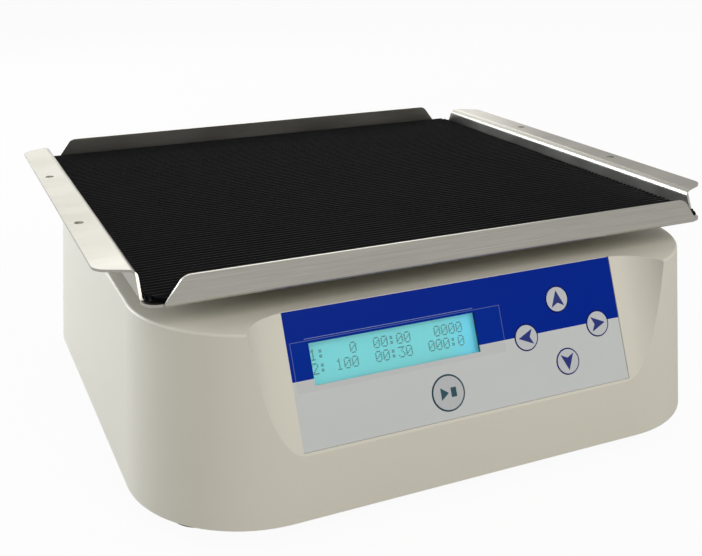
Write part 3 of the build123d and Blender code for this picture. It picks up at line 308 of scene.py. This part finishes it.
def onPanelPlace(tree, place):
    # Turns the object's coordinates into the panel's own: x is u, y is v
    node = tree.nodes.new("ShaderNodeMapping")
    tree.links.new(place, node.inputs["Vector"])
    node.inputs["Rotation"].default_value = (panel["tilt"] - math.pi / 2, 0, 0)
    node.inputs["Location"].default_value = (
        -panel["origin"].x, -panel["origin"].dot(slopeUp), -panel["origin"].dot(slopeOut))
    split = tree.nodes.new("ShaderNodeSeparateXYZ")
    tree.links.new(node.outputs[0], split.inputs[0])
    return split.outputs["X"], split.outputs["Y"]


def inBox(tree, u, v, middle, size):
    offAcross = calc(tree, "ABSOLUTE", calc(tree, "SUBTRACT", u, middle[0]))
    offAlong = calc(tree, "ABSOLUTE", calc(tree, "SUBTRACT", v, middle[1]))
    across = calc(tree, "LESS_THAN", offAcross, size[0] / 2)
    along = calc(tree, "LESS_THAN", offAlong, size[1] / 2)
    return calc(tree, "MULTIPLY", across, along)


def filmFinish():
    look = {
        "blue": (0.0, 0.024, 0.35),
        "paneBlue": (0.001, 0.03, 0.365),
        "grey": (0.71, 0.735, 0.745),
        "paneGrey": (0.68, 0.70, 0.71),
        "line": (0.42, 0.52, 0.75),
        "lineWidth": 0.35 * mm,
        "lineShare": 0.25,
    }
    made, tree, shader, place = newFinish("printedFilm", look["grey"], 0.32, Specular_IOR_Level=0.06)
    u, v = onPanelPlace(tree, place)
    within = tuple(side - 2 * look["lineWidth"] for side in panel["paneSize"])
    pane = inBox(tree, u, v, panel["paneMiddle"], panel["paneSize"])
    inner = inBox(tree, u, v, panel["paneMiddle"], within)
    rim = calc(tree, "SUBTRACT", pane, inner)
    above = calc(tree, "GREATER_THAN", v, panel["blueFrom"])
    blue = blendColours(tree, inner, look["blue"], look["paneBlue"])
    blue = blendColours(tree, calc(tree, "MULTIPLY", rim, look["lineShare"]), blue, look["line"])
    grey = blendColours(tree, pane, look["grey"], look["paneGrey"])
    base = blendColours(tree, above, grey, blue)
    tone = useEffect(tree, "tone", Vector=place, Colour=base, Size=25.0, Amount=0.06)
    tree.links.new(tone["Colour"], shader.inputs["Base Color"])
    tree.links.new(spread(tree, pane, 0, 1, 0.34, 0.24), shader.inputs["Roughness"])
    roughen(tree, shader, useEffect(tree, "grain", Vector=place, Size=3500.0)["Height"], 0.000006)
    return made


def keyFinish(name, middle, face, ring, ink):
    # A pale cap whose outer band is printed
    made, tree, shader, place = newFinish(name, face, 0.33, Specular_IOR_Level=0.3)
    u, v = onPanelPlace(tree, place)
    fromMiddle = calc(
        tree, "SQRT", calc(
            tree, "ADD",
            calc(tree, "POWER", calc(tree, "SUBTRACT", u, middle[0] * mm), 2.0),
            calc(tree, "POWER", calc(tree, "SUBTRACT", v, middle[1] * mm), 2.0)))
    outside = calc(tree, "GREATER_THAN", fromMiddle, ring * mm)
    tone = useEffect(tree, "tone", Vector=place, Colour=(*face, 1), Size=60.0, Amount=0.05)
    tree.links.new(blendColours(tree, outside, tone["Colour"], ink), shader.inputs["Base Color"])
    roughen(tree, shader, useEffect(tree, "grain", Vector=place, Size=3500.0)["Height"], 0.000006)
    return made


def displayFinish():
    look = {
        "lit": (0.115, 0.47, 0.49),
        "bright": (0.09, 0.485, 0.62),
        "glow": 0.45,
        "brightFrom": -8.0 * mm,
        "brightTo": 6.0 * mm,
        "rippleSize": 90.0,
        "ripple": 4 * mm,
    }
    made, tree, shader, place = newFinish("litDisplay", look["lit"], 0.4, Emission_Strength=look["glow"])
    u, v = onPanelPlace(tree, place)
    ripple = calc(tree, "MULTIPLY", noise(tree, place, look["rippleSize"]), look["ripple"])
    share = spread(tree, calc(tree, "ADD", u, ripple), look["brightFrom"], look["brightTo"])
    colour = blendColours(tree, share, look["lit"], look["bright"])
    tree.links.new(colour, shader.inputs["Base Color"])
    tree.links.new(colour, shader.inputs["Emission Color"])
    return made


def clearFinish():
    return newFinish("clearPane", (0.97, 0.99, 0.99), 0.02, Transmission_Weight=1.0, IOR=1.3)[0]


def boardFinish():
    look = {"mask": (0.012, 0.09, 0.035), "copper": (0.03, 0.16, 0.06)}
    made, tree, shader, place = newFinish("circuitBoard", look["mask"], 0.3, Coat_Weight=0.4)
    weave = tree.nodes.new("ShaderNodeTexBrick")
    tree.links.new(place, weave.inputs["Vector"])
    weave.inputs["Scale"].default_value = 180.0
    tracks = calc(tree, "GREATER_THAN", weave.outputs["Fac"], 0.5)
    tree.links.new(blendColours(tree, tracks, look["mask"], look["copper"]), shader.inputs["Base Color"])
    roughen(tree, shader, weave.outputs["Fac"], 0.00004)
    return made


def castFinish(name, colour, roughness):
    made, tree, shader, place = newFinish(name, colour, roughness, 1.0)
    tone = useEffect(tree, "tone", Vector=place, Colour=(*colour, 1), Size=30.0, Amount=0.25)
    tree.links.new(tone["Colour"], shader.inputs["Base Color"])
    height = useEffect(tree, "grain", Vector=place, Size=900.0)["Height"]
    roughen(tree, shader, height, 0.00008)
    return made


finishes = {
    "case_plastic": plasticFinish("casePlastic", (0.83, 0.80, 0.70), 0.42, 0.05, 0.000012, 1800.0),
    "plate_steel": plasticFinish("plateSteel", (0.30, 0.31, 0.32), 0.38, 0.2, 0.00002, 900.0, Metallic=0.6),
    "foot_rubber": rubberFinish("footRubber", (0.012, 0.012, 0.013), 0.6),
    "screw_steel": brushedFinish("screwSteel", (0.62, 0.61, 0.58), 0.28),
    "overlay_film": filmFinish(),
    "key_film": plasticFinish("keyFilm", (0.66, 0.68, 0.71), 0.33, 0.05, 0.000006),
    "display_clear": clearFinish(),
    "display_lcd": displayFinish(),
    "display_black": plasticFinish("displayBlack", (0.015, 0.015, 0.016), 0.4, 0.1),
    "circuit_board": boardFinish(),
    "cast_aluminium": castFinish("castAluminium", (0.62, 0.62, 0.61), 0.42),
    "bearing_steel": brushedFinish("bearingSteel", (0.66, 0.66, 0.66), 0.16, 0.000004, 0.08),
    "shaft_steel": brushedFinish("shaftSteel", (0.60, 0.60, 0.59), 0.24, 0.000006, 0.12),
    "motor_can": plasticFinish("motorCan", (0.04, 0.04, 0.043), 0.35, 0.15),
    "belt_rubber": rubberFinish("beltRubber", (0.018, 0.018, 0.018), 0.55),
    "tray_steel": brushedFinish("traySteel", (0.56, 0.545, 0.495), 0.34, 0.000008, 0.16, Anisotropic=0.5),
    "mat_rubber": matFinish(),
    "black_plastic": plasticFinish("blackPlastic", (0.018, 0.018, 0.019), 0.38, 0.15),
    "pin_brass": brushedFinish("pinMetal", (0.74, 0.70, 0.60), 0.25),
}
printInk = {
    "blueInk": plasticFinish("blueInk", (0.002, 0.016, 0.22), 0.34, 0.05, 0.000004),
    "tealInk": plasticFinish("tealInk", (0.012, 0.075, 0.11), 0.34, 0.05, 0.000004),
    "paleInk": plasticFinish("paleInk", (0.40, 0.50, 0.72), 0.34, 0.05, 0.000004),
    "displayInk": plasticFinish("displayInk", (0.045, 0.17, 0.18), 0.4, 0.05, 0.000004),
}

for row in frame["record"]["subparts"]:
    mesh = nodes[row["node"]].data
    mesh.materials.clear()
    mesh.materials.append(finishes[row["material_slot"]])
print("finishes on", len(nodes), "CAD nodes")


# Modelling helpers
def startPiece(name, finish):
    made = bpy.context.object
    made.name = name
    made.data.name = name
    made.data.materials.append(finish)
    return made


def settle(piece, body, matrix=None):
    # Puts the object's place into its mesh, then hands the piece to its body
    bpy.context.view_layer.update()
    piece.data.transform((matrix or Matrix.Identity(4)) @ piece.matrix_world)
    piece.matrix_world = Matrix.Identity(4)
    piece.data.update()
    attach(piece, body)
    piece.select_set(False)
    return piece


def thicken(piece, thickness, side=1.0):
    # side is 1 for a wall that grows outwards and -1 for one that grows inwards
    made = piece.modifiers.new("thickness", "SOLIDIFY")
    made.thickness = thickness
    made.offset = side
    bpy.context.view_layer.objects.active = piece
    bpy.ops.object.modifier_apply(modifier=made.name)


# Prints on the keys
keyPrints = {
    "places": {
        "key_up": (52.6, 44.9),
        "key_left": (32.2, 29.7),
        "key_right": (73.4, 29.6),
        "key_down": (52.9, 14.5),
        "key_start": (-13.5, 12.0),
    },
    "turns": {"key_up": 90, "key_left": 180, "key_right": 0, "key_down": -90},
    "ring": {"key_start": 7.75},
    "arrowRing": 5.85,
    "cap": {"key_start": (0.60, 0.62, 0.64)},
    "arrowCap": (0.66, 0.68, 0.71),
    "ink": {"key_start": (0.012, 0.075, 0.11)},
    "arrowInk": (0.001, 0.014, 0.23),
    "face": 0.2,  # the keys stand this far above the film
    "inkHeight": 0.04,
    "arrow": ((4.35, 0.0), (-3.6, 3.65), (-1.75, 0.0), (-3.6, -3.65)),
    "play": ((-3.9, 2.9), (-3.9, -2.9), (0.1, 0.0)),
    "stop": ((1.3, 2.2), (1.3, -2.2), (4.1, -2.2), (4.1, 2.2)),
}


def printShape(name, middle, outline, turn, finish):
    bpy.ops.mesh.primitive_circle_add(
        vertices=len(outline), radius=mm, fill_type="NGON",
        location=(middle[0] * mm, middle[1] * mm, keyPrints["face"] * mm))
    shape = startPiece(name, finish)
    angle = math.radians(turn)
    for vertex, (x, y) in zip(shape.data.vertices, outline):
        vertex.co.x = (x * math.cos(angle) - y * math.sin(angle)) * mm
        vertex.co.y = (x * math.sin(angle) + y * math.cos(angle)) * mm
    bpy.ops.object.mode_set(mode="EDIT")
    bpy.ops.mesh.select_all(action="SELECT")
    bpy.ops.mesh.normals_make_consistent(inside=False)
    bpy.ops.object.mode_set(mode="OBJECT")
    if shape.data.polygons[0].normal.z < 0:
        shape.data.flip_normals()
    thicken(shape, keyPrints["inkHeight"] * mm)
    return shape


for key, middle in keyPrints["places"].items():
    cap = keyPrints["cap"].get(key, keyPrints["arrowCap"])
    ring = keyPrints["ring"].get(key, keyPrints["arrowRing"])
    ink = keyPrints["ink"].get(key, keyPrints["arrowInk"])
    finish = keyFinish(f"{key}_film", middle, cap, ring, ink)
    nodes[key].data.materials.clear()
    nodes[key].data.materials.append(finish)
    if key in keyPrints["turns"]:
        arrow = printShape(
            f"arrow_{key}", middle, keyPrints["arrow"], keyPrints["turns"][key], printInk["blueInk"])
        settle(arrow, key, panelMatrix)

for name in ("play", "stop"):
    mark = printShape(
        f"{name}_mark", keyPrints["places"]["key_start"], keyPrints[name], 0, printInk["tealInk"])
    settle(mark, "key_start", panelMatrix)
print("prints on the keys")


# Characters of the display: each is five dots wide and seven high
display = {
    "rows": ("1:   0  00:00   0000", "2: 100  00:30  000:0"),
    "firstDot": (-75.2, 42.7),
    "columnPitch": 3.85,
    "rowPitch": 6.25,
    "dot": 0.56,
    "dotPitch": 0.66,
    "dotStretch": 1.12,  # the rows of dots are this much further apart
    "depth": -3.9,  # the display glass's face, behind the film
    "ink": 0.05,
}
digitDots = {
    "0": ("01110", "10001", "10011", "10101", "11001", "10001", "01110"),
    "1": ("00100", "01100", "00100", "00100", "00100", "00100", "01110"),
    "2": ("01110", "10001", "00001", "00010", "00100", "01000", "11111"),
    "3": ("11111", "00010", "00100", "00010", "00001", "10001", "01110"),
    ":": ("00000", "01100", "01100", "00000", "01100", "01100", "00000"),
}


def makeCharacters():
    bpy.ops.mesh.primitive_plane_add(size=display["dot"] * mm, location=(0, 0, 0))
    dots = startPiece("display_characters", printInk["displayInk"])
    dotPitch = display["dotPitch"]
    places = []
    for rowIndex, text in enumerate(display["rows"]):
        for column, sign in enumerate(text):
            left = display["firstDot"][0] + column * display["columnPitch"]
            top = display["firstDot"][1] - rowIndex * display["rowPitch"]
            for line, bits in enumerate(digitDots.get(sign, ())):
                for step, bit in enumerate(bits):
                    if bit == "1":
                        u = left + step * dotPitch
                        v = top - line * dotPitch * display["dotStretch"]
                        places.append((u * mm, v * mm, display["depth"] * mm))
    single = dots.data
    copies = []
    for place in places:
        copied = bpy.data.objects.new("dot", single.copy())
        bpy.context.scene.collection.objects.link(copied)
        copied.location = place
        copies.append(copied)
    bpy.data.objects.remove(dots)
    for copied in copies:
        copied.select_set(True)
    bpy.context.view_layer.objects.active = copies[0]
    bpy.ops.object.join()
    joined = bpy.context.object
    joined.name = "display_characters"
    thicken(joined, display["ink"] * mm)
    return joined


settle(makeCharacters(), "root", panelMatrix)
print("characters on the display")


# The thin rule printed over the display
rule = {"from": -78.0, "to": 6.0, "height": 48.0, "width": 0.16}
bpy.ops.mesh.primitive_plane_add(size=1, location=(0, 0, 0))
labelRule = startPiece("label_rule", printInk["paleInk"])
labelRule.scale = ((rule["to"] - rule["from"]) * mm, rule["width"] * mm, 1)
labelRule.location = ((rule["from"] + rule["to"]) / 2 * mm, rule["height"] * mm, 0)
bpy.ops.object.transform_apply(location=False, rotation=False, scale=True)
thicken(labelRule, keyPrints["inkHeight"] * mm)
settle(labelRule, "root", panelMatrix)


# Ribbed mat, laid flat in the tray; the solid mat has no ribs
mat = {
    "thickness": 2.3,  # under its ribs
    "ribPitch": 3.2,
    "ribMargin": 1.6,
    "ribFoot": 1.9,
    "ribHeight": 0.9,
    "ribShape": (
        (-0.5, 0.0), (-0.36, 0.55), (-0.2, 0.93), (0.0, 1.0), (0.2, 0.93), (0.36, 0.55), (0.5, 0.0)),
    "columns": 60,
    "corner": 10.0,
    "ripple": 0.12,  # the rubber isn't quite level
    "waves": 5,
    "lift": 0.3,  # its underside stands this far off the tray's floor
    "smoothAngle": 50,
    "seed": 7,
}
matLow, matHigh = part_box("mat")


def matRows(halfLength):
    # Places and heights along the mat, over all its ribs
    reach = 2 * (halfLength - mat["ribMargin"] * mm) - mat["ribFoot"] * mm
    count = int(reach / (mat["ribPitch"] * mm)) + 1
    first = -(count - 1) / 2 * mat["ribPitch"] * mm
    rows = [(-halfLength, 0.0)]
    for i in range(count):
        middle = first + i * mat["ribPitch"] * mm
        rows += [(middle + share * mat["ribFoot"] * mm, height) for share, height in mat["ribShape"]]
    rows.append((halfLength, 0.0))
    return rows


def makeMat():
    halfWidth = (matHigh.x - matLow.x) / 2
    halfLength = (matHigh.y - matLow.y) / 2
    middle = (matHigh.y + matLow.y) / 2
    rows = matRows(halfLength)
    columns = mat["columns"] + 1
    bpy.ops.mesh.primitive_grid_add(
        x_subdivisions=columns - 1, y_subdivisions=len(rows) - 1, size=1, location=(0, 0, 0))
    piece = startPiece("ribbed_mat", finishes["mat_rubber"])
    random.seed(mat["seed"])
    waves = [
        (random.uniform(0.6, 2.4), random.uniform(0, 6.28), random.uniform(0.3, 1.0))
        for _ in range(mat["waves"])]
    corner = mat["corner"] * mm
    for index, vertex in enumerate(piece.data.vertices):
        y, shape = rows[index // columns]
        intoCorner = max(0.0, abs(y) - (halfLength - corner))
        width = halfWidth - corner + math.sqrt(max(0.0, corner ** 2 - intoCorner ** 2))
        x = width * (2 * (index % columns) / (columns - 1) - 1)
        wave = sum(a * math.sin(k * (x + 0.4 * y) / halfWidth * 3.1 + p) for k, p, a in waves)
        vertex.co = (x, y, shape * mat["ribHeight"] * mm + wave * mat["ripple"] * mm / mat["waves"])
    piece.location = (0, middle, matLow.z + mat["thickness"] * mm)
    bpy.ops.object.mode_set(mode="EDIT")
    bpy.ops.mesh.select_all(action="SELECT")
    bpy.ops.mesh.normals_make_consistent(inside=False)
    bpy.ops.object.mode_set(mode="OBJECT")
    if sum(face.normal.z for face in piece.data.polygons) < 0:
        piece.data.flip_normals()
    thicken(piece, (mat["thickness"] - mat["lift"]) * mm, -1.0)
    piece.select_set(True)
    bpy.ops.object.shade_smooth_by_angle(angle=math.radians(mat["smoothAngle"]))
    return piece


ribbedMat = makeMat()
settle(ribbedMat, "platform")
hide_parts("mat")
print("ribbed mat,", len(ribbedMat.data.polygons), "faces")


# Floor, light and camera
stage = {
    "floorHalf": 6.0,
    "floorColour": (0.55, 0.55, 0.54),
    "floorLift": 0.93,  # how much of the floor's white shows to the camera whatever its light
    "floorWhite": 1.02,
    "mirrored": 0.35,  # how much of the white room shows in the steel
    "wallTop": 0.15,  # heights on the sphere of directions, from 0 level to 1 straight up
    "ceilingFrom": 0.75,
    "wallLight": 0.22,
    "ceilingLight": 0.46,
    "wallColour": (1.0, 0.965, 0.88),
    "ceilingColour": (1.0, 0.995, 0.98),
}


def whiteShare(tree):
    # The camera sees the room white, also through glass, and the steel mirrors part of that
    path = tree.nodes.new("ShaderNodeLightPath").outputs
    straight = calc(tree, "MAXIMUM", path["Is Camera Ray"], path["Is Transmission Ray"])
    mirrored = calc(tree, "MULTIPLY", path["Is Glossy Ray"], stage["mirrored"])
    return calc(tree, "MAXIMUM", straight, mirrored)


def makeFloor():
    bpy.ops.mesh.primitive_plane_add(size=2 * stage["floorHalf"], location=(0, 0, 0))
    floor = bpy.context.object
    floor.name = "studio_floor"
    made = bpy.data.materials.new("paleFloor")
    made.use_nodes = True
    tree = made.node_tree
    tree.nodes.clear()
    output = tree.nodes.new("ShaderNodeOutputMaterial")
    matt = tree.nodes.new("ShaderNodeBsdfDiffuse")
    matt.inputs["Color"].default_value = (*stage["floorColour"], 1)
    glow = tree.nodes.new("ShaderNodeEmission")
    glow.inputs["Strength"].default_value = stage["floorWhite"]
    share = calc(tree, "MULTIPLY", whiteShare(tree), stage["floorLift"])
    merged = tree.nodes.new("ShaderNodeMixShader")
    tree.links.new(share, merged.inputs[0])
    tree.links.new(matt.outputs[0], merged.inputs[1])
    tree.links.new(glow.outputs[0], merged.inputs[2])
    tree.links.new(merged.outputs[0], output.inputs["Surface"])
    floor.data.materials.append(made)


def makeWorld():
    world = bpy.data.worlds.new("paleRoom")
    bpy.context.scene.world = world
    world.use_nodes = True
    tree = world.node_tree
    tree.nodes.clear()
    output = tree.nodes.new("ShaderNodeOutputWorld")
    split = tree.nodes.new("ShaderNodeSeparateXYZ")
    tree.links.new(tree.nodes.new("ShaderNodeTexCoord").outputs["Generated"], split.inputs[0])
    height = spread(tree, split.outputs["Z"], stage["wallTop"], stage["ceilingFrom"])
    light = tree.nodes.new("ShaderNodeBackground")
    tree.links.new(
        blendColours(tree, height, stage["wallColour"], stage["ceilingColour"]), light.inputs["Color"])
    tree.links.new(
        spread(tree, height, 0, 1, stage["wallLight"], stage["ceilingLight"]), light.inputs["Strength"])
    white = tree.nodes.new("ShaderNodeBackground")
    white.inputs["Color"].default_value = (1, 1, 1, 1)
    merged = tree.nodes.new("ShaderNodeMixShader")
    tree.links.new(whiteShare(tree), merged.inputs[0])
    tree.links.new(light.outputs[0], merged.inputs[1])
    tree.links.new(white.outputs[0], merged.inputs[2])
    tree.links.new(merged.outputs[0], output.inputs["Surface"])


lamps = {
    "topSoftbox": {
        "place": (0.25, -1.05, 0.95), "aim": (0, 0, 0.08), "size": (0.7, 0.6), "power": 6.2,
        "colour": (1.0, 0.985, 0.95)},
    "leftSoftbox": {
        "place": (-1.0, 1.0, 0.45), "aim": (0, 0, 0.08), "size": (0.8, 0.8), "power": 16.0,
        "colour": (0.90, 0.95, 1.0)},
    "backSoftbox": {
        "place": (0.35, 1.5, 0.75), "aim": (0, 0, 0.08), "size": (1.4, 0.6), "power": 4.5,
        "colour": (1.0, 0.99, 0.96)},
}


def makeLamps():
    for name, lamp in lamps.items():
        light = bpy.data.lights.new(name, "AREA")
        light.shape = "RECTANGLE"
        light.size, light.size_y = lamp["size"]
        light.energy = lamp["power"]
        light.color = lamp["colour"]
        holder = bpy.data.objects.new(name, light)
        bpy.context.scene.collection.objects.link(holder)
        holder.location = lamp["place"]
        aim = Vector(lamp["aim"]) - Vector(lamp["place"])
        holder.rotation_euler = aim.to_track_quat("-Z", "Y").to_euler()


camera = {
    "azimuth": math.radians(-24.0945),
    "elevation": math.radians(20.5601),
    "roll": math.radians(-0.29959),
    "place": (-0.216515, -0.489434, 0.258707),
    "lens": 50.048,
    "sensor": 36.0,
}


def makeCamera():
    data = bpy.data.cameras.new("photoCamera")
    data.lens = camera["lens"]
    data.sensor_width = camera["sensor"]
    data.sensor_fit = "HORIZONTAL"
    data.clip_start = 0.01
    holder = bpy.data.objects.new("photoCamera", data)
    bpy.context.scene.collection.objects.link(holder)
    turn, rise, roll = camera["azimuth"], camera["elevation"], camera["roll"]
    back = Vector((math.sin(turn) * math.cos(rise), -math.cos(turn) * math.cos(rise), math.sin(rise)))
    right = (-back).cross(Vector((0, 0, 1))).normalized()
    up = right.cross(-back)
    rightTurned = right * math.cos(roll) + up * math.sin(roll)
    upTurned = up * math.cos(roll) - right * math.sin(roll)
    matrix = Matrix((rightTurned, upTurned, back)).transposed().to_4x4()
    matrix.translation = Vector(camera["place"])
    holder.matrix_world = matrix
    bpy.context.scene.camera = holder


makeFloor()
makeWorld()
makeLamps()
makeCamera()
bpy.context.scene.view_settings.view_transform = "Standard"
print("floor, light and camera")

bpy.ops.object.select_all(action="DESELECT")
